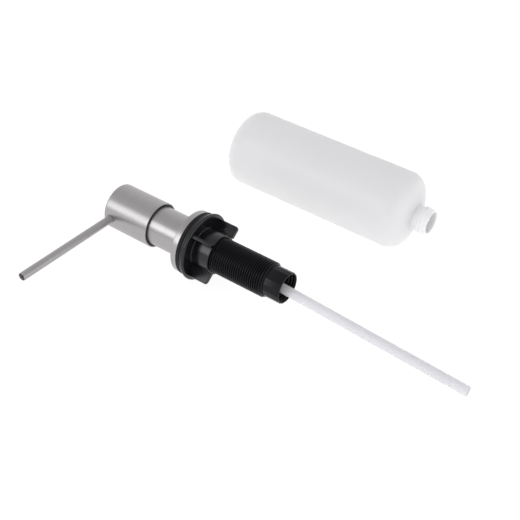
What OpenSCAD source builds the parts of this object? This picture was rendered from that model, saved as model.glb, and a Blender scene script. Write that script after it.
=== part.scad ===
// Sink-mounted soap pump dispenser, laid out beside its unscrewed refill bottle.
// Every pump piece is modelled about its own axis: local z = 0 is the top of the
// push head and z grows towards the dip tube's tip. Local -y is the spout side.
// lay_pump() and lay_bottle() then put the pieces down side by side, axis level,
// with the nut's rim and the bottle's side both touching the surface below.

/* [Push head] */
// Outside diameter of the steel push head
head_d = 34.6; // [30:0.1:40]
// Length of the push head along the pump axis
head_len = 40; // [38:0.5:48]
// Thickness of the drawn steel
steel_wall = 0.8; // [0.5:0.1:1]
// Rounding of the head's top edge
head_edge = 1.2; // [0.4:0.1:2.5]
// How far the head goes down when it is pressed
press_stroke = 16; // [8:1:16]

/* [Spout] */
// Outside diameter of the spout tube
spout_d = 6; // [5:0.1:6.4]
// Thickness of the spout tube's wall
spout_wall = 0.5; // [0.3:0.1:1]
// Reach of the spout tip from the pump axis
spout_reach = 104.5; // [70:0.5:110]
// Distance of the spout's axis from the head's top
spout_drop = 6.4; // [5:0.1:7]

/* [Collar] */
// Outside diameter of the steel neck tube
neck_d = 30; // [29:0.1:31]
// Outside diameter of the deck flange
flange_d = 47.4; // [44:0.1:60]
// Thickness of the deck flange, plate and rim
flange_t = 4.6; // [3.5:0.1:6]
// Distance of the flange's underside from the head's top
deck_z = 73.5; // [70:0.5:80]

/* [Deck fixing] */
// Thickness of the rubber deck gasket
gasket_t = 3.1; // [2:0.1:4]
// Diameter of the rubber deck gasket
gasket_d = 48; // [44:0.1:56]
// Thickness of the loose slip washer
washer_t = 2.2; // [1.5:0.1:3]
// Diameter of the loose slip washer
washer_d = 48.6; // [44:0.1:56]
// Diameter of the wing nut over its rim
nut_d = 51; // [48:0.1:60]
// Length of the wing nut's hub beyond its disc
nut_hub_len = 13.6; // [10:0.1:15]
// Number of wings on the nut
wing_count = 4; // [2:1:6]

/* [Threaded shank] */
// Diameter over the crests of the shank's thread
thread_d = 26.44; // [26:0.01:26.6]
// Diameter at the root of the shank's thread
thread_root_d = 24.12; // [23.8:0.01:24.4]
// Distance from one thread crest to the next
thread_pitch = 1.814; // [1.5:0.001:2.5]
// Distance of the thread's end from the head's top
thread_end = 139.8; // [130:0.1:145]
// Distance of the open mouth from the head's top
mouth_z = 153; // [150:0.1:156]
// Diameter of the smooth end, across its corners
smooth_end_d = 23.3; // [23:0.1:24]
// Number of narrow flats round the smooth end
smooth_end_sides = 16; // [12:1:24]

/* [Dip tube] */
// Outside diameter of the dip tube
dip_d = 7; // [6:0.1:7.4]
// Thickness of the dip tube's wall
dip_wall = 0.9; // [0.6:0.1:1.2]
// Angle by which the tube leans off the pump axis
dip_lean = 3.5; // [0:0.5:4]
// Length of the tube beyond its socket
dip_reach = 173; // [120:1:175]

/* [Bottle] */
// Outside diameter of the bottle
bottle_d = 60.4; // [55:0.1:66]
// Length from the bottle's base to its mouth
bottle_len = 171.6; // [150:0.1:190]
// Thickness of the blown wall
bottle_wall = 1.2; // [0.8:0.1:2]
// Radius of the rounded shoulder
shoulder_r = 13.4; // [8:0.1:16]
// Diameter over the crests of the neck's thread
neck_thread_d = 20.7; // [20:0.1:20.8]
// Sideways distance between the pump's axis and the bottle's
bottle_gap = 125.9; // [90:0.1:140]
// How far along the pump the bottle's base lies from the head's top
bottle_back = 24.4; // [0:0.1:60]

/* [Hidden] */
$fn = 96;

// Clearances: a shaft that runs in a hole, and pieces that only pass each other.
run_gap = 0.07;
loose_gap = 0.3;
// How far a cutting shape reaches past the face it cuts.
cut = 1;

head_r = head_d / 2;
head_bore_r = head_r - steel_wall;
neck_r = neck_d / 2;
neck_bore_r = neck_r - steel_wall;
flange_r = flange_d / 2;
flange_z = deck_z - flange_t;
spout_r = spout_d / 2;
nut_r = nut_d / 2;

// The head's core fills the top of the shell; its boss holds the pump's stem.
// The neck tube starts below the core by the stroke and a little more.
core_end = 12.8;
neck_top = core_end + press_stroke + 1.2;
boss_r = 6.4;
boss_end = 24;
stem_r = 4.5;
stem_top = 10;
stem_end = 60;
stem_bore_r = 2.2;
duct_r = 1.8;
outlet_ball_r = 2.4;
outlet_seat_z = 14;
chamber_r = 3.2;
seal_ring_r = 0.9;

// The pump hangs in the shank from its cap and flange.
cap_r = 12.6;
cap_z = 42;
cap_skirt_z = 45.5;
housing_r = 8.5;
barrel_r = 7.5;
seat_flange_z = 52;
seat_flange_t = 2;
seat_seal_t = 1.4;
shank_seat_z = seat_flange_z + seat_flange_t + seat_seal_t;
shank_bore_r = 9.5;
shank_top = 32;
barrel_end = 103;
valve_z = 105;
inlet_chamber_r = 2.7;
inlet_ball_r = 2.38;
inlet_seat_z = 109;
inlet_seat_r = 2;
socket_r = 5;
socket_end = 118.6;
socket_depth = 6;

// The piston rides on the end of the stem and is closed by the plunger.
piston_z = 57;
piston_len = 9;
piston_bore_r = 2.7;
plunger_head_z = piston_z + piston_len;
plunger_head_t = 2.5;
cup_t = 2;
spring_wire_r = 0.5;
spring_r = 5.6;
spring_turns = 7;

// The deck fixing, stacked below the flange.
gasket_z = deck_z;
washer_z = gasket_z + gasket_t;
nut_z = washer_z + washer_t;
nut_disc_t = 2.7;
nut_recess = 0.9;
nut_recess_r = 22;
nut_bore_r = thread_d / 2 + run_gap;
hub_r = 15.1;
hub_end = nut_z + nut_disc_t + nut_hub_len;
wing_r = 23.3;
wing_t = 2.2;
wing_end = hub_end + 2.2;
wing_corner = 1.8;
wing_phase = 38;

// The shank's thread is drawn as rings of the true profile.
thread_turns = floor((thread_end - deck_z - 0.8) / thread_pitch);
thread_start = thread_end - thread_turns * thread_pitch;
mouth_bore_r = 10.45;
mouth_crest_r = 9.8;
mouth_pitch = 2.5;
mouth_thread_turns = 4;
smooth_end_turn = 2;

// The bottle: radii and heights along its own axis.
bottle_r = bottle_d / 2;
base_r = 10;
shoulder_sweep = 70;
neck_len = 12;
neck_root_r = 9.7;
neck_bore = 8.2;
neck_pitch = 2.5;
neck_turns = 3;
lip_len = 2.2;
shoulder_z = bottle_len - 29;

// Layout: the axis height of each, and the plan position of the head's top, so
// that the origin is under the middle of the whole spread.
pump_height = nut_r;
dip_end_x = socket_end + dip_reach * cos(dip_lean) + dip_d / 2 * sin(dip_lean);
pump_x = -dip_end_x / 2;
pump_y = (spout_reach - bottle_gap - bottle_r) / 2;

// Places a pump piece from its own axis frame.
module lay_pump() {
    translate([pump_x, pump_y, pump_height])
        rotate([0, 90, 0])
            children();
}

// Places the bottle, base first, on its side.
module lay_bottle() {
    translate([pump_x + bottle_back, pump_y + bottle_gap, bottle_r])
        rotate([0, 90, 0])
            children();
}

// A plain tube from z0 to z1.
module tube(outer_r, inner_r, z0, z1) {
    translate([0, 0, z0])
        difference() {
            cylinder(r = outer_r, h = z1 - z0);
            translate([0, 0, -cut])
                cylinder(r = inner_r, h = z1 - z0 + 2 * cut);
        }
}

// A plain disc or rod from z0 to z1.
module rod(r, z0, z1) {
    translate([0, 0, z0])
        cylinder(r = r, h = z1 - z0);
}

// A ring of round section.
module ring(centre_r, section_r, z) {
    translate([0, 0, z])
        rotate_extrude()
            translate([centre_r, 0])
                circle(section_r);
}

// A solid drum whose top edge, at z0, is rounded.
module rounded_drum(r, z0, z1, edge) {
    rod(r, z0 + edge, z1);
    rod(r - edge, z0, z1);
    ring(r - edge, edge, z0 + edge);
}

// A washer from z0 to z1 with a fully rounded outer edge.
module round_edged_washer(outer_r, inner_r, z0, z1) {
    edge = (z1 - z0) / 2;
    difference() {
        union() {
            rod(outer_r - edge, z0, z1);
            ring(outer_r - edge, edge, z0 + edge);
        }
        rod(inner_r, z0 - cut, z1 + cut);
    }
}

// A cylinder across the axis on the spout side, from y0 to y1.
module spout_rod(r, y0, y1) {
    translate([0, -y0, spout_drop])
        rotate([90, 0, 0])
            cylinder(r = r, h = y1 - y0);
}

// Points of an arc, for profiles.
function arc(centre, r, from, to, steps) =
    [for (i = [0:steps])
        let (a = from + (to - from) * i / steps)
            [centre[0] + r * cos(a), centre[1] + r * sin(a)]];

// Outline of a row of thread teeth, from start onwards.
function teeth(root, crest, pitch, turns, start) =
    [for (i = [0:turns - 1])
        for (p = [[root, 0.08], [crest, 0.4], [crest, 0.6], [root, 0.92]])
            [p[0], start + (i + p[1]) * pitch]];

module head_shell() {
    color("silver")
        lay_pump()
            difference() {
                rounded_drum(head_r, 0, head_len, head_edge);
                rounded_drum(head_bore_r, steel_wall, head_len + cut, head_edge - steel_wall / 2);
                spout_rod(spout_r, 0, head_r + cut);
            }
}

module head_liner() {
    liner_end = head_len - 0.3;
    color("#1e1e20")
        lay_pump()
            tube(head_bore_r, neck_r + run_gap, core_end, liner_end);
}

// Plastic block in the head: seats the spout and leads the soap from the stem.
module head_core() {
    core_edge = head_edge - steel_wall / 2;
    color("#2b2b2e")
        lay_pump()
            difference() {
                union() {
                    rounded_drum(head_bore_r, steel_wall, core_end, core_edge);
                    rod(boss_r, steel_wall + cut, boss_end);
                }
                rod(stem_r, stem_top, boss_end + cut);
                rod(chamber_r, stem_top - 1, stem_top + cut);
                rod(duct_r, spout_drop, stem_top);
                spout_rod(duct_r, 0, stem_r + cut);
                spout_rod(spout_r, stem_r, head_r);
                spout_rod(spout_r + 2 * seal_ring_r, 10, 12);
            }
}

module spout_tube() {
    color("silver")
        lay_pump()
            difference() {
                spout_rod(spout_r, stem_r, spout_reach);
                spout_rod(spout_r - spout_wall, stem_r - cut, spout_reach + cut);
            }
}

module spout_seal() {
    color("#161616")
        lay_pump()
            translate([0, -11, spout_drop])
                rotate([90, 0, 0])
                    ring(spout_r + seal_ring_r, seal_ring_r - 0.05, 0);
}

// Steel neck tube and deck flange, drawn from one sheet.
module collar() {
    color("silver")
        lay_pump() {
            difference() {
                union() {
                    rod(neck_r, neck_top, flange_z + steel_wall);
                    rounded_drum(flange_r, flange_z, deck_z, 0.5);
                }
                rod(neck_bore_r, neck_top - cut, deck_z + cut);
                rod(flange_r - steel_wall, flange_z + steel_wall, deck_z + cut);
            }
        }
}

// Black plastic body: sleeve in the neck, flange in the collar, thread and mouth.
module threaded_shank() {
    root_r = thread_root_d / 2;
    profile = concat(
        [[shank_bore_r, shank_seat_z], [cap_r + run_gap, shank_seat_z],
         [cap_r + run_gap, shank_top], [neck_bore_r, shank_top],
         [neck_bore_r, flange_z + steel_wall],
         [flange_r - steel_wall, flange_z + steel_wall],
         [flange_r - steel_wall, deck_z], [root_r, deck_z]],
        teeth(root_r, thread_d / 2, thread_pitch, thread_turns, thread_start),
        [[root_r, thread_end], [mouth_bore_r, thread_end], [shank_bore_r, thread_end - 2]]);
    color("#262628")
        lay_pump() {
            rotate_extrude()
                polygon(profile);
            difference() {
                translate([0, 0, thread_end - 1])
                    linear_extrude(mouth_z - thread_end + 1)
                        polygon([for (i = [0:smooth_end_sides - 1])
                            let (a = smooth_end_turn + 360 * i / smooth_end_sides)
                                smooth_end_d / 2 * [cos(a), sin(a)]]);
                rod(mouth_bore_r, thread_end - 1 - cut, mouth_z + cut);
            }
            mouth_thread();
        }
}

// Ridges inside the mouth that the bottle's neck screws into.
module mouth_thread() {
    first = mouth_z - 1 - mouth_thread_turns * mouth_pitch;
    rotate_extrude()
        for (i = [0:mouth_thread_turns - 1])
            translate([0, first + i * mouth_pitch])
                polygon([[mouth_bore_r + 0.1, 0.2], [mouth_crest_r, 0.8],
                         [mouth_crest_r, 1.2], [mouth_bore_r + 0.1, 1.8]]);
}

module deck_gasket() {
    color("#19191b")
        lay_pump()
            difference() {
                union() {
                    rounded_drum(gasket_d / 2, gasket_z, washer_z - 0.5, 0.4);
                    rod(gasket_d / 2 - 0.5, gasket_z, washer_z);
                }
                rod(nut_bore_r, gasket_z - cut, washer_z + cut);
            }
}

module slip_washer() {
    color("#2a2a2d")
        lay_pump()
            round_edged_washer(washer_d / 2, nut_bore_r + loose_gap, washer_z, nut_z);
}

module wing_nut() {
    disc_end = nut_z + nut_disc_t;
    floor_z = disc_end - nut_recess;
    color("#29292c")
        lay_pump() {
            difference() {
                union() {
                    difference() {
                        round_edged_washer(nut_r, hub_r - cut, nut_z, disc_end);
                        rod(nut_recess_r, floor_z, disc_end + cut);
                    }
                    rod(hub_r, nut_z, hub_end);
                }
                rod(nut_bore_r, nut_z - cut, hub_end + cut);
            }
            for (i = [0:wing_count - 1])
                rotate([0, 0, wing_phase + i * 360 / wing_count])
                    wing(floor_z - 0.3);
        }
}

// One finger wing, standing on the nut's disc beside the hub.
module wing(z0) {
    root = hub_r - 0.4;
    translate([root, -wing_t / 2, z0]) {
        cube([wing_r - root - wing_corner, wing_t, wing_end - z0]);
        cube([wing_r - root, wing_t, wing_end - z0 - wing_corner]);
    }
    translate([wing_r - wing_corner, wing_t / 2, wing_end - wing_corner])
        rotate([90, 0, 0])
            cylinder(r = wing_corner, h = wing_t);
}

// Snap cap that guides the stem and closes the pump's housing.
module pump_cap() {
    color("white")
        lay_pump()
            difference() {
                rod(cap_r, cap_z, seat_flange_z);
                rod(stem_r + run_gap, cap_z - cut, cap_skirt_z + cut);
                rod(housing_r, cap_skirt_z, seat_flange_z + cut);
            }
}

// Barrel, inlet valve seat and dip tube socket, moulded in one.
module pump_housing() {
    color("whitesmoke")
        lay_pump()
            difference() {
                union() {
                    rod(housing_r, cap_skirt_z, valve_z);
                    rod(cap_r, seat_flange_z, seat_flange_z + seat_flange_t);
                    rod(socket_r, valve_z - cut, socket_end);
                }
                rod(barrel_r, cap_skirt_z - cut, barrel_end);
                rod(inlet_chamber_r, barrel_end - cut, inlet_seat_z);
                rod(inlet_seat_r, inlet_seat_z - cut, socket_end - socket_depth + cut);
                lean_dip()
                    rod(dip_d / 2, -socket_depth, cut);
            }
}

module pump_seat_seal() {
    seal_z = seat_flange_z + seat_flange_t;
    color("#222222")
        lay_pump()
            tube(cap_r, housing_r, seal_z, seal_z + seat_seal_t);
}

// Hollow stem with the outlet valve's chamber in its upper end.
module pump_stem() {
    color("white")
        lay_pump()
            difference() {
                rod(stem_r, stem_top, stem_end);
                rod(chamber_r, stem_top - cut, outlet_seat_z);
                rod(stem_bore_r, outlet_seat_z - cut, stem_end + cut);
            }
}

// Distance from a ball's centre back to the edge of the seat it rests on.
function seat_depth(ball_r, seat_r) = sqrt(ball_r * ball_r - seat_r * seat_r);

module outlet_ball() {
    color("lightgray")
        lay_pump()
            translate([0, 0, outlet_seat_z - seat_depth(outlet_ball_r, stem_bore_r) - 0.02])
                sphere(r = outlet_ball_r);
}

module piston() {
    color("gainsboro")
        lay_pump()
            difference() {
                union() {
                    rod(barrel_r - run_gap - 0.7, piston_z, plunger_head_z);
                    rod(barrel_r - run_gap, piston_z, piston_z + 2);
                    rod(barrel_r - run_gap, plunger_head_z - 2, plunger_head_z);
                }
                rod(stem_r + run_gap, piston_z - cut, stem_end + run_gap);
                rod(piston_bore_r, piston_z, plunger_head_z + cut);
            }
}

// Fluted rod clipped into the stem; its head closes the piston from below.
module valve_plunger() {
    flute_t = 1.2;
    rod_top = stem_end - 8;
    color("ivory")
        lay_pump() {
            intersection() {
                rod(stem_bore_r, rod_top, plunger_head_z + cut);
                for (turn = [0, 90])
                    rotate([0, 0, turn])
                        translate([-stem_bore_r, -flute_t / 2, rod_top])
                            cube([2 * stem_bore_r, flute_t, plunger_head_z - rod_top + cut]);
            }
            rod(boss_r, plunger_head_z + run_gap, plunger_head_z + plunger_head_t);
        }
}

// Coil spring, swept along its helix with an eight-sided wire.
module return_spring() {
    sides = 8;
    steps = spring_turns * 18;
    z0 = plunger_head_z + plunger_head_t + spring_wire_r;
    z1 = barrel_end - cup_t - spring_wire_r;
    rings = [for (i = [0:steps])
        let (turn = 360 * spring_turns * i / steps, z = z0 + (z1 - z0) * i / steps)
            for (k = [0:sides - 1])
                let (a = 360 * k / sides, r = spring_r + spring_wire_r * cos(a))
                    [r * cos(turn), r * sin(turn), z + spring_wire_r * sin(a)]];
    walls = [for (i = [0:steps - 1])
        for (k = [0:sides - 1])
            let (next = (k + 1) % sides)
                [i * sides + k, i * sides + next, (i + 1) * sides + next, (i + 1) * sides + k]];
    ends = [[for (k = [sides - 1:-1:0]) k], [for (k = [0:sides - 1]) steps * sides + k]];
    color("gray")
        lay_pump()
            polyhedron(points = rings, faces = concat(walls, ends));
}

// Slotted cup that seats the spring and cages the inlet ball.
module spring_cup() {
    hole_r = 1;
    color("white")
        lay_pump()
            difference() {
                rod(barrel_r, barrel_end - cup_t, barrel_end);
                for (i = [0:3])
                    rotate([0, 0, 45 + 90 * i])
                        translate([2, 0, barrel_end - cup_t - cut])
                            cylinder(r = hole_r, h = cup_t + 2 * cut);
            }
}

module inlet_ball() {
    color("lightgray")
        lay_pump()
            translate([0, 0, inlet_seat_z - seat_depth(inlet_ball_r, inlet_seat_r) - 0.02])
                sphere(r = inlet_ball_r);
}

// Places what follows the dip tube's own axis, which crosses the pump's axis at
// the socket's mouth.
module lean_dip() {
    translate([0, 0, socket_end])
        rotate([0, dip_lean, 0])
            children();
}

// Translucent tube pushed into the socket below the inlet valve.
module dip_tube() {
    color("aliceblue", 0.8)
        lay_pump()
            lean_dip()
                tube(dip_d / 2, dip_d / 2 - dip_wall, -socket_depth, dip_reach);
}

// Solid of revolution of the bottle's body, drawn inset by a wall thickness.
module bottle_form(inset) {
    outer_r = bottle_r - inset;
    shoulder_centre = [bottle_r - shoulder_r, shoulder_z];
    rise = (shoulder_centre[0] + shoulder_r * cos(shoulder_sweep) - neck_root_r)
           / tan(shoulder_sweep);
    neck_z = shoulder_z + shoulder_r * sin(shoulder_sweep) + rise;
    rotate_extrude()
        polygon(concat(
            [[0, inset]],
            arc([bottle_r - base_r, base_r], base_r - inset, -90, 0, 8),
            arc(shoulder_centre, shoulder_r - inset, 0, shoulder_sweep, 8),
            [[neck_root_r - inset, neck_z - inset], [0, neck_z - inset]]));
}

// Milky blow-moulded refill bottle with its threaded neck.
module bottle() {
    neck_start = bottle_len - neck_len;
    first_tooth = bottle_len - lip_len - neck_turns * neck_pitch;
    color("ghostwhite", 0.9)
        lay_bottle()
            difference() {
                union() {
                    bottle_form(0);
                    rod(neck_root_r, neck_start - 2, bottle_len);
                    rotate_extrude()
                        polygon(concat(
                            [[neck_root_r - 1, first_tooth]],
                            teeth(neck_root_r, neck_thread_d / 2, neck_pitch, neck_turns,
                                  first_tooth),
                            [[neck_root_r - 1, bottle_len - lip_len]]));
                }
                bottle_form(bottle_wall);
                rod(neck_bore, neck_start - 3, bottle_len + cut);
            }
}

head_shell();
head_liner();
head_core();
spout_tube();
spout_seal();
collar();
threaded_shank();
deck_gasket();
slip_washer();
wing_nut();
pump_cap();
pump_housing();
pump_seat_seal();
pump_stem();
outlet_ball();
piston();
valve_plunger();
return_spring();
spring_cup();
inlet_ball();
dip_tube();
bottle();
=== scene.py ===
"""Looks of the sink-mounted soap pump and its refill bottle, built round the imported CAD.

Turned pieces are drawn as an outline of (along, radius) points in millimetres, measured
from the push head's top or from the bottle's base, and turned about that axis.
"""

import math

import bmesh
import bpy
from mathutils import Matrix, Vector


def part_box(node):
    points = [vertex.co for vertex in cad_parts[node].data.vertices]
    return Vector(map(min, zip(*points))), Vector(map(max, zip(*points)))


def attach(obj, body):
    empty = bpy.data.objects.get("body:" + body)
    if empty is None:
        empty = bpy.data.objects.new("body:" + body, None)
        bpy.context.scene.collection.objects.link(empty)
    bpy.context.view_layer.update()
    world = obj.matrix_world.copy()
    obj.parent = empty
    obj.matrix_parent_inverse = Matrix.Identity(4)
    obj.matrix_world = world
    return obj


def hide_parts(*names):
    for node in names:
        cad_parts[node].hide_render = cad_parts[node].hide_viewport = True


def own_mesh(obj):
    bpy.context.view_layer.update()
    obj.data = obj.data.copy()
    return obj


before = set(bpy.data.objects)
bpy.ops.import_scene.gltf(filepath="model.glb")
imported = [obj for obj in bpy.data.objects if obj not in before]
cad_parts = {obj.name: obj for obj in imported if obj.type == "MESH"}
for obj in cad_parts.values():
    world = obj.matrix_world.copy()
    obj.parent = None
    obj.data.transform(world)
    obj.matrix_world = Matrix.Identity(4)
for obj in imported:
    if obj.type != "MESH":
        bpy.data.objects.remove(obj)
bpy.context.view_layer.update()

MM = 0.001
AROUND = 192
SHARP_ANGLE = math.radians(32)
SAME_PLACE = 1e-7  # metres
# How much less than half the thickness a fully rounded edge has, in millimetres.
ROUND_GAP = 0.02

# Sizes that the CAD's boxes don't give, in millimetres.
STEEL_WALL = 0.8
SPOUT_WALL = 0.5
SPOUT_ROOT = 4.5
SPOUT_HOLE_GAP = 0.18
HOLE_START = 8
HOLE_END = 25
NECK_RADIUS = 15.0
FLANGE_HEIGHT = 4.6
SHANK_SEAT = 55.4
SHANK_CAP_RADIUS = 12.67
SHANK_ROOT = 12.06
SHANK_CREST = 13.22
SHANK_PITCH = 1.814
SHANK_THREAD_END = 139.8
SHANK_BORE = 9.5
MOUTH_BORE = 10.45
MOUTH_CREST = 9.8
BOTTLE_PITCH = 2.5
SMOOTH_END_RADIUS = 11.65
SMOOTH_END_SIDES = 16
SMOOTH_END_TURN = 1.875
SMOOTH_END_RIM = 0.4
NUT_BORE = 13.29
NUT_DISC = 2.7
NUT_RECESS = 0.9
NUT_RECESS_RADIUS = 22.0
HUB_RADIUS = 15.1
WING_RADIUS = 23.3
WING_THICK = 2.2
WING_CORNER = 1.8
WING_RISE = 2.2
WING_PHASE = 38.0
WING_EDGE = 0.35
WING_FOOT = 0.3
DIP_LEAN = 3.5
DIP_RADIUS = 3.5
DIP_WALL = 0.9
DIP_SOCKET = 6.0
DIP_REACH = 173.0
SPRING_WIRE = 0.5
SPRING_TURNS = 7
SPRING_STEPS_PER_TURN = 32
WIRE_SIDES = 12
BOTTLE_WALL = 1.2
BOTTLE_BASE_ROUND = 10.0
BOTTLE_DISH = 1.6
BOTTLE_DISH_RADIUS = 16.0
BOTTLE_SHOULDER_ROUND = 13.4
BOTTLE_SHOULDER_SWEEP = 70.0
BOTTLE_SHOULDER_DROP = 29.0
BOTTLE_NECK_ROOT = 9.7
BOTTLE_NECK_CREST = 10.35
BOTTLE_NECK_BORE = 8.2
BOTTLE_LIP = 2.2
BOTTLE_THREAD_TURNS = 3
BOTTLE_NECK_LEN = 12.0


# ---------------------------------------------------------------- frames and outlines

def axis_place(node):
    """Matrix from a turned node's own frame, z along its axis in mm, to the row frame."""
    low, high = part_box(node)
    start = Vector((low.x, (low.y + high.y) / 2, (low.z + high.z) / 2))
    turn = Matrix(((0, 0, 1, 0), (0, 1, 0, 0), (-1, 0, 0, 0), (0, 0, 0, 1)))
    return Matrix.Translation(start) @ turn @ Matrix.Scale(MM, 4)


PUMP = axis_place("head_shell")
BOTTLE = axis_place("bottle")


def span(node):
    """Where a pump node starts and ends along the axis, and its outer radius, in mm."""
    low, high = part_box(node)
    start = PUMP.translation.x
    return (low.x - start) / MM, (high.x - start) / MM, (high.y - low.y) / 2 / MM


def rounded(corners, closed=True, steps=5):
    """Outline through corners (along, radius, rounding), with an arc at each corner."""
    points = []
    count = len(corners)
    for i, (along, radius, rounding) in enumerate(corners):
        here = Vector((along, radius))
        if rounding == 0 or (not closed and i in (0, count - 1)):
            points.append(here)
            continue
        back = (Vector(corners[i - 1][:2]) - here).normalized()
        ahead = (Vector(corners[(i + 1) % count][:2]) - here).normalized()
        half = back.angle(ahead) / 2
        centre = here + (back + ahead).normalized() * rounding / math.sin(half)
        first = here + back * rounding / math.tan(half) - centre
        last = here + ahead * rounding / math.tan(half) - centre
        points += [centre + first.slerp(last, k / steps) * rounding for k in range(steps + 1)]
    return points


def divided(points, longest, closed=True):
    """The same outline with extra points, so that no step is longer than longest."""
    result = []
    count = len(points)
    for i in range(count if closed else count - 1):
        here, ahead = points[i], points[(i + 1) % count]
        parts = max(1, math.ceil((ahead - here).length / longest))
        result += [here.lerp(ahead, k / parts) for k in range(parts)]
    return result if closed else result + [points[-1]]


# ---------------------------------------------------------------- mesh building

def around_axis(radius, angle, along):
    """Point at a radius and an angle round a turned piece's own axis."""
    return Vector((radius * math.cos(angle), radius * math.sin(angle), along))


def circle(mesh, place, along, radius, around=AROUND):
    """Adds one loop of vertices and returns it."""
    return [
        mesh.verts.new(place @ around_axis(radius, math.tau * k / around, along))
        for k in range(around)
    ]


def turned(mesh, points, place, closed=True, around=AROUND):
    """Adds an outline turned about the axis. Points on the axis become one vertex."""
    loops = []
    for along, radius in points:
        on_axis = radius < 1e-6
        loops.append(circle(mesh, place, along, radius, 1 if on_axis else around))
    pairs = list(zip(loops, loops[1:]))
    if closed:
        pairs.append((loops[-1], loops[0]))
    for a, b in pairs:
        join_loops(mesh, a, b)


def join_loops(mesh, a, b):
    """Faces between two loops of vertices, either of which may be a single vertex."""
    around = max(len(a), len(b))
    for k in range(around):
        after = (k + 1) % around
        corners = [a[k % len(a)], a[after % len(a)], b[after % len(b)], b[k % len(b)]]
        unique = list(dict.fromkeys(corners))
        if len(unique) > 2:
            mesh.faces.new(unique)


# One thread tooth: how far along the pitch, and how high, from root to crest.
TOOTH = ((0.0, 0.0), (0.1, 0.05), (0.36, 0.88), (0.44, 1.0),
         (0.56, 1.0), (0.64, 0.88), (0.9, 0.05))


def wound(mesh, place, root, crest, pitch, start, end, fade):
    """Adds a true helical thread surface and returns its first and last loops."""
    per_turn = len(TOOTH)
    turns = math.ceil((end - start) / pitch) + 1
    rows = []
    for row in range(turns * per_turn + 1):
        phase, height = TOOTH[row % per_turn]
        rows.append([])
        for k in range(AROUND):
            along = start + (row // per_turn - 1 + phase + k / AROUND) * pitch
            along = min(max(along, start), end)
            near_end = min(along - start, end - along)
            rise = height * min(1, near_end / fade)
            radius = root + (crest - root) * rise
            point = around_axis(radius, math.tau * k / AROUND, along)
            rows[-1].append(mesh.verts.new(place @ point))
    for row, (this, after) in enumerate(zip(rows, rows[1:])):
        for k in range(AROUND - 1):
            mesh.faces.new((this[k], this[k + 1], after[k + 1], after[k]))
        ahead = row + per_turn
        if ahead + 1 < len(rows):
            mesh.faces.new((this[-1], rows[ahead][0], rows[ahead + 1][0], after[-1]))
    return rows[0], rows[-1]


def faceted_loop(mesh, place, along, corner_radius, sides, phase):
    """Adds one loop round a regular polygon and returns it."""
    flat = corner_radius * math.cos(math.pi / sides)
    loop = []
    for k in range(AROUND):
        angle = math.tau * k / AROUND
        off = (angle - phase) % (math.tau / sides) - math.pi / sides
        point = around_axis(flat / math.cos(off), angle, along)
        loop.append(mesh.verts.new(place @ point))
    return loop


def plate(mesh, place, outline, thick, bevel):
    """Adds a flat plate, outline in its own x and z, with small bevels on its edges."""
    part = bmesh.new()
    front = [part.verts.new((x, -thick / 2, z)) for x, z in outline]
    back = [part.verts.new((x, thick / 2, z)) for x, z in outline]
    part.faces.new(front)
    part.faces.new(list(reversed(back)))
    for k in range(len(outline)):
        after = (k + 1) % len(outline)
        part.faces.new((front[after], front[k], back[k], back[after]))
    flat_edges = [e for e in part.edges if abs(e.verts[0].co.y - e.verts[1].co.y) < 1e-9]
    bmesh.ops.bevel(part, geom=flat_edges, offset=bevel, segments=3, profile=0.5, affect="EDGES")
    part.transform(place)
    data = bpy.data.meshes.new("plate")
    part.to_mesh(data)
    part.free()
    mesh.from_mesh(data)
    bpy.data.meshes.remove(data)


def piece(name, build, body, material, replaced):
    """Makes one visible piece: its mesh, finish and body, and hides the CAD node it stands for."""
    mesh = bmesh.new()
    build(mesh)
    bmesh.ops.remove_doubles(mesh, verts=mesh.verts, dist=SAME_PLACE)
    bmesh.ops.dissolve_degenerate(mesh, edges=mesh.edges, dist=SAME_PLACE)
    bmesh.ops.recalc_face_normals(mesh, faces=mesh.faces)
    data = bpy.data.meshes.new(name)
    mesh.to_mesh(data)
    mesh.free()
    data.shade_smooth()
    data.set_sharp_from_angle(angle=SHARP_ANGLE)
    data.materials.append(material)
    shown = bpy.data.objects.new(name, data)
    bpy.context.scene.collection.objects.link(shown)
    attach(shown, body)
    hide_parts(replaced)
    return shown


# ---------------------------------------------------------------- materials

def link_noise(material, scale, stretch=(1, 1, 1), detail=4):
    """A noise texture in the piece's own space, stretched along its grain."""
    nodes, links = material.node_tree.nodes, material.node_tree.links
    where = nodes.new("ShaderNodeTexCoord")
    mapping = nodes.new("ShaderNodeMapping")
    mapping.inputs["Scale"].default_value = stretch
    noise = nodes.new("ShaderNodeTexNoise")
    noise.inputs["Scale"].default_value = scale
    noise.inputs["Detail"].default_value = detail
    links.new(where.outputs["Object"], mapping.inputs["Vector"])
    links.new(mapping.outputs["Vector"], noise.inputs["Vector"])
    return noise.outputs["Fac"]


def link_range(material, source, low, high, socket):
    """Drives a shader socket between two values by a texture."""
    spread = material.node_tree.nodes.new("ShaderNodeMapRange")
    spread.inputs["From Min"].default_value = 0.3
    spread.inputs["From Max"].default_value = 0.7
    spread.inputs["To Min"].default_value = low
    spread.inputs["To Max"].default_value = high
    material.node_tree.links.new(source, spread.inputs["Value"])
    material.node_tree.links.new(spread.outputs["Result"], socket)


def link_colours(material, source, first, second, socket):
    """Mixes two colours by a texture."""
    ramp = material.node_tree.nodes.new("ShaderNodeValToRGB")
    ramp.color_ramp.elements[0].position = 0.3
    ramp.color_ramp.elements[1].position = 0.7
    ramp.color_ramp.elements[0].color = (*first, 1)
    ramp.color_ramp.elements[1].color = (*second, 1)
    material.node_tree.links.new(source, ramp.inputs["Fac"])
    material.node_tree.links.new(ramp.outputs["Color"], socket)


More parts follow.
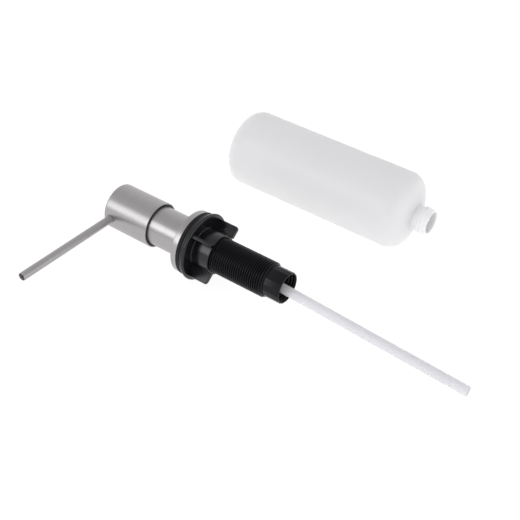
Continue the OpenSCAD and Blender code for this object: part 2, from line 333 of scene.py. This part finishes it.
def link_bump(material, source, strength, depth):
    """Fine relief from a texture, depth in millimetres."""
    bump = material.node_tree.nodes.new("ShaderNodeBump")
    bump.inputs["Strength"].default_value = strength
    bump.inputs["Distance"].default_value = depth * MM
    material.node_tree.links.new(source, bump.inputs["Height"])
    shader = material.node_tree.nodes["Principled BSDF"]
    material.node_tree.links.new(bump.outputs["Normal"], shader.inputs["Normal"])


def painted_edge_highlights(material, grain_colours, edge_highlight_colour):
    """Body colour from a grain texture, with a painted highlight: paler where the surface turns
    sharply outwards.
    """
    nodes, links = material.node_tree.nodes, material.node_tree.links
    shader = nodes["Principled BSDF"]
    mix = nodes.new("ShaderNodeMix")
    mix.data_type = "RGBA"
    mix.inputs["B"].default_value = (*edge_highlight_colour, 1)
    clouds = link_noise(material, 60)
    link_colours(material, clouds, *grain_colours, mix.inputs["A"])
    # Painted highlight: pointiness mixes in the pale edge colour on sharply outward-turning edges.
    geometry = nodes.new("ShaderNodeNewGeometry")
    edge = nodes.new("ShaderNodeMapRange")
    edge.inputs["From Min"].default_value = 0.56
    edge.inputs["From Max"].default_value = 0.7
    links.new(geometry.outputs["Pointiness"], edge.inputs["Value"])
    links.new(edge.outputs["Result"], mix.inputs["Factor"])
    links.new(mix.outputs["Result"], shader.inputs["Base Color"])


def new_material(name, **settings):
    """A node material with constants set on the shader's own sockets, and its shader."""
    material = bpy.data.materials.new(name)
    material.use_nodes = True
    shader = material.node_tree.nodes["Principled BSDF"]
    for socket, value in settings.items():
        shader.inputs[socket.replace("_", " ")].default_value = value
    return material, shader


def brushed_steel(name, axis, stretch, colours, rough, grain=0.6):
    """Stainless steel, brushed round its axis; stretch is small along the lines."""
    material, shader = new_material(
        name, Metallic=1.0, Anisotropic=grain, Anisotropic_Rotation=0.25)
    tangent = material.node_tree.nodes.new("ShaderNodeTangent")
    tangent.direction_type = "RADIAL"
    tangent.axis = axis
    material.node_tree.links.new(tangent.outputs["Tangent"], shader.inputs["Tangent"])
    lines = link_noise(material, 2600, stretch)
    smears = link_noise(material, 40)
    link_colours(material, lines, *colours, shader.inputs["Base Color"])
    link_range(material, smears, rough - 0.03, rough + 0.04, shader.inputs["Roughness"])
    link_bump(material, lines, strength=0.25, depth=0.012)
    return material


def moulded_plastic(name, colours, edge_highlight_colour, rough, shine):
    """Black injection-moulded plastic: soft flow marks, fine grain, edges painted paler as
    highlights.
    """
    material, shader = new_material(name, Specular_IOR_Level=shine)
    # The paler edges here are a painted highlight.
    painted_edge_highlights(material, colours, edge_highlight_colour)
    flow = link_noise(material, 90)
    link_range(material, flow, rough - 0.07, rough + 0.07, shader.inputs["Roughness"])
    grain = link_noise(material, 2600, detail=2)
    link_bump(material, grain, strength=0.15, depth=0.02)
    return material


def rubber(name):
    """Matt black rubber with a dusty bloom."""
    material, shader = new_material(name, Specular_IOR_Level=0.22)
    colours = ((0.006, 0.006, 0.0065), (0.010, 0.010, 0.011))
    # The paler edges here are a painted highlight.
    painted_edge_highlights(material, colours, edge_highlight_colour=(0.03, 0.03, 0.032))
    bloom = link_noise(material, 150)
    link_range(material, bloom, 0.55, 0.75, shader.inputs["Roughness"])
    grain = link_noise(material, 1800, detail=3)
    link_bump(material, grain, strength=0.5, depth=0.03)
    return material


def milky_plastic(name, thin, thick, depth, clear, rough, soft=0.9):
    """Unpigmented polyethylene: cloudy, light goes in and scatters, faint orange peel."""
    material, shader = new_material(
        name,
        Subsurface_Weight=soft,
        Subsurface_Scale=depth * MM,
        Transmission_Weight=clear,
        IOR=1.5,
        Specular_IOR_Level=0.35,
    )
    shader.inputs["Subsurface Radius"].default_value = (1.0, 1.0, 1.0)
    clouds = link_noise(material, 35, detail=3)
    smears = link_noise(material, 120)
    link_colours(material, clouds, thin, thick, shader.inputs["Base Color"])
    link_range(material, smears, rough - 0.05, rough + 0.05, shader.inputs["Roughness"])
    orange_peel = link_noise(material, 400, detail=2)
    link_bump(material, orange_peel, strength=0.06, depth=0.05)
    return material


STEEL = ((0.385, 0.372, 0.378), (0.435, 0.422, 0.428))
WIRE = ((0.33, 0.33, 0.34), (0.42, 0.42, 0.43))
BLACKS = ((0.0036, 0.0035, 0.0055), (0.006, 0.0058, 0.0085))
steel_round_x = brushed_steel("steel_brushed_round", "X", (1, 0.04, 0.04), STEEL, 0.36)
steel_round_y = brushed_steel("steel_tube", "Y", (0.04, 1, 0.04), STEEL, 0.42, grain=0.85)
spring_wire = brushed_steel("spring_wire", "X", (1, 1, 1), WIRE, 0.3)
# The third colour given to moulded_plastic is the pale edge colour, a painted highlight.
black_moulding = moulded_plastic("black_moulding", BLACKS, (0.02, 0.02, 0.023), 0.25, 0.17)
black_nut = moulded_plastic("black_nut_moulding", BLACKS, (0.035, 0.035, 0.04), 0.25, 0.45)
gasket_rubber = rubber("gasket_rubber")
natural = milky_plastic(
    "natural_moulding", (0.72, 0.72, 0.71), (0.78, 0.78, 0.77), depth=2.0, clear=0.1, rough=0.4)
tube_plastic = milky_plastic(
    "dip_tube_plastic", (0.85, 0.85, 0.90), (0.88, 0.88, 0.925), depth=2.5, clear=0.15,
    rough=0.4, soft=0.35)
bottle_plastic = milky_plastic(
    "milky_bottle", (0.905, 0.905, 0.965), (0.925, 0.925, 0.98), depth=2.2, clear=0.1, rough=0.42)
ball_glass = milky_plastic(
    "valve_ball", (0.70, 0.74, 0.76), (0.78, 0.81, 0.83), depth=1.0, clear=0.5, rough=0.12,
    soft=0.5)


# ---------------------------------------------------------------- the pieces
# Outline corners below are (along, radius, rounding), in millimetres.

def build_head(mesh):
    """Drawn steel cup: rounded top edge, thin wall, slightly broken rim."""
    start, end, radius = span("head_shell")
    bore = radius - STEEL_WALL
    corners = [(start, 0, 0), (start, radius, 1.2), (end, radius, 0.25), (end, bore, 0.25),
               (start + STEEL_WALL, bore, 0.5), (start + STEEL_WALL, 0, 0)]
    outline = divided(rounded(corners, closed=False), 1.0, closed=False)
    turned(mesh, outline, PUMP, closed=False)


def build_collar(mesh):
    """Neck tube and deck flange from one sheet, with small drawn radii."""
    start, end, radius = span("collar")
    flange = end - FLANGE_HEIGHT
    bore = NECK_RADIUS - STEEL_WALL
    inside = flange + STEEL_WALL
    corners = [(start, NECK_RADIUS, 0.25), (flange, NECK_RADIUS, 0.35), (flange, radius, 0.5),
               (end, radius, 0.2), (end, radius - STEEL_WALL, 0.2),
               (inside, radius - STEEL_WALL, 0.3), (inside, bore, 0), (start, bore, 0.2)]
    turned(mesh, divided(rounded(corners), 2.0), PUMP)


def spout_axis():
    """The spout's own frame, z from the pump's axis to the tip, its radius and its reach."""
    low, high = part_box("spout_tube")
    radius = (high.z - low.z) / 2 / MM
    drop = ((low.x + high.x) / 2 - PUMP.translation.x) / MM
    tip = (PUMP.translation.y - low.y) / MM
    place = PUMP @ Matrix.Translation((0, 0, drop)) @ Matrix.Rotation(math.pi / 2, 4, "X")
    return place, radius, tip


def build_spout(mesh):
    """Thin tube with a rounded lip, from the head's core to the open tip."""
    place, radius, tip = spout_axis()
    corners = [(SPOUT_ROOT, radius, 0), (tip, radius, 0.24), (tip, radius - SPOUT_WALL, 0.24),
               (SPOUT_ROOT, radius - SPOUT_WALL, 0)]
    turned(mesh, divided(rounded(corners), 3.0), place, around=96)


def build_shank(mesh):
    """Sleeve and flange in the collar, helical outer thread, faceted end with inner thread."""
    start, end, radius = span("threaded_shank")
    deck = span("collar")[1]
    sleeve = NECK_RADIUS - STEEL_WALL
    flange = deck - FLANGE_HEIGHT + STEEL_WALL
    body = [(start, SHANK_CAP_RADIUS, 0.3), (start, sleeve, 0.3), (flange, sleeve, 0),
            (flange, radius, 0.3), (deck, radius, 0.2), (deck, SHANK_BORE, 0),
            (SHANK_SEAT, SHANK_BORE, 0.2), (SHANK_SEAT, SHANK_CAP_RADIUS, 0.2)]
    turned(mesh, divided(rounded(body), 3.0), PUMP)
    first, last = wound(mesh, PUMP, SHANK_ROOT, SHANK_CREST, SHANK_PITCH,
                        deck, SHANK_THREAD_END, fade=1.4)
    bore_first = circle(mesh, PUMP, deck, SHANK_BORE)
    bore_last = circle(mesh, PUMP, SHANK_THREAD_END, SHANK_BORE)
    join_loops(mesh, first, bore_first)
    join_loops(mesh, bore_first, bore_last)
    join_loops(mesh, bore_last, last)
    build_smooth_end(mesh, SHANK_THREAD_END, end)


def build_smooth_end(mesh, start, end):
    """Sixteen-sided end of the shank, with the mouth's thread inside."""
    rim = SMOOTH_END_RIM
    corner = SMOOTH_END_RADIUS
    phase = math.radians(SMOOTH_END_TURN)
    outline = [(start, corner), (end - rim, corner),
               (end - rim * 0.3, corner - rim * 0.3), (end, corner - rim)]
    loops = [
        faceted_loop(mesh, PUMP, along, radius, SMOOTH_END_SIDES, phase)
        for along, radius in outline
    ]
    first, last = wound(mesh, PUMP, MOUTH_BORE, MOUTH_CREST, BOTTLE_PITCH, start, end, fade=2.0)
    for a, b in zip(loops, loops[1:]):
        join_loops(mesh, a, b)
    join_loops(mesh, loops[-1], last)
    join_loops(mesh, first, loops[0])


def build_gasket(mesh):
    """Flat rubber gasket with softened edges."""
    start, end, radius = span("deck_gasket")
    corners = [(start, radius, 0.45), (end, radius, 0.5),
               (end, NUT_BORE, 0.2), (start, NUT_BORE, 0.2)]
    turned(mesh, divided(rounded(corners), 2.0), PUMP)


def build_washer(mesh):
    """Loose washer with a fully rounded edge."""
    start, end, radius = span("slip_washer")
    edge = (end - start) / 2 - ROUND_GAP
    bore = NUT_BORE + 0.3
    corners = [(start, radius, edge), (end, radius, edge), (end, bore, 0.2), (start, bore, 0.2)]
    turned(mesh, divided(rounded(corners, steps=8), 2.0), PUMP)


def build_nut(mesh):
    """Rimmed disc and hub in one outline, then the finger wings."""
    start, end, radius = span("wing_nut")
    hub_end = end - WING_RISE
    disc_end = start + NUT_DISC
    floor = disc_end - NUT_RECESS
    edge = NUT_DISC / 2 - ROUND_GAP
    corners = [(start, NUT_BORE, 0.2), (start, radius, edge), (disc_end, radius, edge),
               (disc_end, NUT_RECESS_RADIUS, 0.2), (floor, NUT_RECESS_RADIUS - 0.3, 0.2),
               (floor, HUB_RADIUS, 0.6), (hub_end, HUB_RADIUS, 0.35), (hub_end, NUT_BORE, 0.35)]
    turned(mesh, divided(rounded(corners, steps=8), 2.0), PUMP)
    root = HUB_RADIUS - 0.6
    for k in range(4):
        turn = Matrix.Rotation(math.radians(WING_PHASE + 90 * k), 4, "Z")
        wing = rounded([(root, floor - WING_FOOT, 0), (root, end, 0.2),
                        (WING_RADIUS, end, WING_CORNER), (WING_RADIUS, floor - WING_FOOT, 0)])
        plate(mesh, PUMP @ turn, wing, WING_THICK, WING_EDGE)


def build_dip_tube(mesh):
    """Straight tube, pushed into the pump's socket and leaning a little."""
    socket_end = span("pump_housing")[1]
    place = (PUMP @ Matrix.Translation((0, 0, socket_end))
             @ Matrix.Rotation(math.radians(DIP_LEAN), 4, "Y"))
    bore = DIP_RADIUS - DIP_WALL
    corners = [(-DIP_SOCKET, DIP_RADIUS, 0.1), (DIP_REACH, DIP_RADIUS, 0.15),
               (DIP_REACH, bore, 0.15), (-DIP_SOCKET, bore, 0.1)]
    turned(mesh, divided(rounded(corners), 3.0), place, around=96)


def build_spring(mesh):
    """Coil of round wire with flat ends."""
    start, end, radius = span("return_spring")
    coil = radius - SPRING_WIRE
    steps = SPRING_TURNS * SPRING_STEPS_PER_TURN
    loops = []
    for i in range(steps + 1):
        turn = math.tau * SPRING_TURNS * i / steps
        centre = start + SPRING_WIRE + (end - start - 2 * SPRING_WIRE) * i / steps
        loops.append([])
        for k in range(WIRE_SIDES):
            tilt = math.tau * k / WIRE_SIDES
            reach = coil + SPRING_WIRE * math.cos(tilt)
            along = centre + SPRING_WIRE * math.sin(tilt)
            loops[-1].append(mesh.verts.new(PUMP @ around_axis(reach, turn, along)))
    for a, b in zip(loops, loops[1:]):
        join_loops(mesh, a, b)
    mesh.faces.new(loops[0])
    mesh.faces.new(loops[-1])


def bottle_outline(length, radius, inset):
    """Half outline of the blown body, from the base's middle to the foot of the neck."""
    base = BOTTLE_BASE_ROUND
    shoulder = length - BOTTLE_SHOULDER_DROP
    sweep = math.radians(BOTTLE_SHOULDER_SWEEP)
    middle = radius - BOTTLE_SHOULDER_ROUND
    points = []
    for share in (0, 0.25, 0.5, 0.75, 1):
        depth = BOTTLE_DISH * (1 - share ** 2)
        points.append(Vector((inset + depth, BOTTLE_DISH_RADIUS * share)))
    base_steps = 12
    for k in range(base_steps + 1):
        angle = math.radians(-90 + 90 * k / base_steps)
        reach = Vector((math.sin(angle), math.cos(angle))) * (base - inset)
        points.append(Vector((base, radius - base)) + reach)
    shoulder_steps = 16
    for k in range(shoulder_steps + 1):
        angle = sweep * k / shoulder_steps
        reach = Vector((math.sin(angle), math.cos(angle))) * (BOTTLE_SHOULDER_ROUND - inset)
        points.append(Vector((shoulder, middle)) + reach)
    return points


def build_bottle(mesh):
    """Blown body with inner wall, dished base and a helical neck thread."""
    low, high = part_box("bottle")
    length = (high.x - low.x) / MM
    radius = (high.z - low.z) / 2 / MM
    neck = length - BOTTLE_NECK_LEN
    thread_start = length - BOTTLE_LIP - BOTTLE_THREAD_TURNS * BOTTLE_PITCH
    thread_end = length - BOTTLE_LIP
    outer = bottle_outline(length, radius, 0)
    inner = bottle_outline(length, radius, BOTTLE_WALL)
    outer += [Vector((neck - 0.6, BOTTLE_NECK_ROOT + 0.6)), Vector((neck, BOTTLE_NECK_ROOT + 0.15)),
              Vector((neck + 0.7, BOTTLE_NECK_ROOT)), Vector((thread_start, BOTTLE_NECK_ROOT))]
    inner += [Vector((neck - 0.8, BOTTLE_NECK_BORE + 0.6)), Vector((neck + 0.3, BOTTLE_NECK_BORE))]
    turned(mesh, divided(outer, 2.5, closed=False), BOTTLE, closed=False)
    wound(mesh, BOTTLE, BOTTLE_NECK_ROOT, BOTTLE_NECK_CREST, BOTTLE_PITCH,
          thread_start, thread_end, fade=1.5)
    lip = [(thread_end, BOTTLE_NECK_ROOT, 0), (length, BOTTLE_NECK_ROOT, 0.4),
           (length, BOTTLE_NECK_BORE, 0.4), (neck + 0.3, BOTTLE_NECK_BORE, 0)]
    turned(mesh, rounded(lip, closed=False), BOTTLE, closed=False)
    turned(mesh, divided(inner, 2.5, closed=False), BOTTLE, closed=False)


def cut_spout_hole(shell):
    """Opens the shell for the spout, a hair larger than the tube."""
    place, radius, _ = spout_axis()
    radius += SPOUT_HOLE_GAP
    mesh = bmesh.new()
    rod = [Vector((HOLE_START, 0)), Vector((HOLE_START, radius)),
           Vector((HOLE_END, radius)), Vector((HOLE_END, 0))]
    turned(mesh, rod, place, closed=False, around=96)
    bmesh.ops.recalc_face_normals(mesh, faces=mesh.faces)
    data = bpy.data.meshes.new("spout_cutter")
    mesh.to_mesh(data)
    mesh.free()
    cutter = bpy.data.objects.new("spout_cutter", data)
    bpy.context.scene.collection.objects.link(cutter)
    boolean = shell.modifiers.new("spout_hole", "BOOLEAN")
    boolean.object = cutter
    boolean.solver = "EXACT"
    bpy.context.view_layer.update()
    evaluated = shell.evaluated_get(bpy.context.evaluated_depsgraph_get())
    result = bpy.data.meshes.new_from_object(evaluated)
    shell.modifiers.clear()
    shell.data = result
    result.shade_smooth()
    result.set_sharp_from_angle(angle=SHARP_ANGLE)
    bpy.data.objects.remove(cutter)
    bpy.data.meshes.remove(data)


head = piece("push_head_cup", build_head, "head", steel_round_x, "head_shell")
cut_spout_hole(head)
piece("neck_and_flange", build_collar, "fixture", steel_round_x, "collar")
piece("spout", build_spout, "head", steel_round_y, "spout_tube")
piece("threaded_body", build_shank, "fixture", black_moulding, "threaded_shank")
piece("deck_gasket_ring", build_gasket, "fixture", gasket_rubber, "deck_gasket")
piece("slip_ring", build_washer, "washer", black_nut, "slip_washer")
piece("winged_nut", build_nut, "nut", black_nut, "wing_nut")
piece("suction_tube", build_dip_tube, "pump", tube_plastic, "dip_tube")
piece("milky_bottle", build_bottle, "refill_bottle", bottle_plastic, "bottle")

spring = piece("coil_spring", build_spring, "pump", spring_wire, "return_spring")
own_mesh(spring)

FINISHES = {
    "head_liner": black_moulding,
    "head_core": black_moulding,
    "spout_seal": gasket_rubber,
    "pump_seat_seal": gasket_rubber,
    "pump_cap": natural,
    "pump_housing": natural,
    "pump_stem": natural,
    "piston": natural,
    "valve_plunger": natural,
    "spring_cup": natural,
    "outlet_ball": ball_glass,
    "inlet_ball": ball_glass,
}
for node, finish in FINISHES.items():
    inner_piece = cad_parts[node]
    inner_piece.data.materials.clear()
    inner_piece.data.materials.append(finish)


# ---------------------------------------------------------------- floor, light, camera

def make_floor():
    """A large pale floor that glows enough to read as plain white, almost without shadow."""
    half = 4.0
    data = bpy.data.meshes.new("floor")
    corners = [(-half, -half, 0), (half, -half, 0), (half, half, 0), (-half, half, 0)]
    data.from_pydata(corners, [], [(0, 1, 2, 3)])
    floor = bpy.data.objects.new("floor", data)
    bpy.context.scene.collection.objects.link(floor)
    material, shader = new_material("pale_floor", Roughness=0.9, Specular_IOR_Level=0.0)
    shader.inputs["Base Color"].default_value = (0.15, 0.15, 0.15, 1)
    shader.inputs["Emission Color"].default_value = (1, 1, 1, 1)
    shader.inputs["Emission Strength"].default_value = 0.93
    data.materials.append(material)


def make_light(name, toward, distance, width, height, brightness):
    """A soft box that shines at the object from the given direction."""
    data = bpy.data.lights.new(name, "AREA")
    data.shape = "RECTANGLE"
    data.size = width
    data.size_y = height
    data.energy = brightness * math.pi * width * height
    lamp = bpy.data.objects.new(name, data)
    direction = Vector(toward).normalized()
    lamp.location = direction * distance
    lamp.rotation_euler = direction.to_track_quat("Z", "Y").to_euler()
    bpy.context.scene.collection.objects.link(lamp)


def make_world(horizon, zenith, patch_edge):
    """Bright studio surroundings that fade to a dimmer patch overhead."""
    world = bpy.data.worlds.new("studio")
    world.use_nodes = True
    nodes, links = world.node_tree.nodes, world.node_tree.links
    where = nodes.new("ShaderNodeTexCoord")
    split = nodes.new("ShaderNodeSeparateXYZ")
    fade = nodes.new("ShaderNodeMapRange")
    fade.inputs["From Min"].default_value = patch_edge
    fade.inputs["To Min"].default_value = horizon
    fade.inputs["To Max"].default_value = zenith
    background = nodes["Background"]
    background.inputs["Color"].default_value = (0.995, 0.99, 1.0, 1)
    links.new(where.outputs["Generated"], split.inputs["Vector"])
    links.new(split.outputs["Z"], fade.inputs["Value"])
    links.new(fade.outputs["Result"], background.inputs["Strength"])
    bpy.context.scene.world = world


def make_camera():
    """The photograph's view: azimuth 33.6, elevation 38.2 and a small roll."""
    data = bpy.data.cameras.new("camera")
    data.lens = 66.34
    data.sensor_width = 36
    camera = bpy.data.objects.new("camera", data)
    place = Vector((0.26762, -0.45464, 0.44295))
    right = Vector((0.80949, 0.58491, 0.05104))
    up = Vector((-0.39507, 0.47832, 0.78430))
    back = right.cross(up)
    turn = Matrix((right, up, back)).transposed().to_4x4()
    camera.matrix_world = Matrix.Translation(place) @ turn
    bpy.context.scene.collection.objects.link(camera)
    bpy.context.scene.camera = camera


make_floor()
make_world(horizon=0.95, zenith=0.62, patch_edge=0.5)
make_light("key", (-0.43, -0.775, 0.46), distance=1.4, width=0.6, height=0.7, brightness=2.7)
make_light("side", (0.97, 0.18, 0.11), distance=2.2, width=1.4, height=0.3, brightness=4.0)
make_camera()
bpy.context.scene.view_settings.view_transform = "Standard"
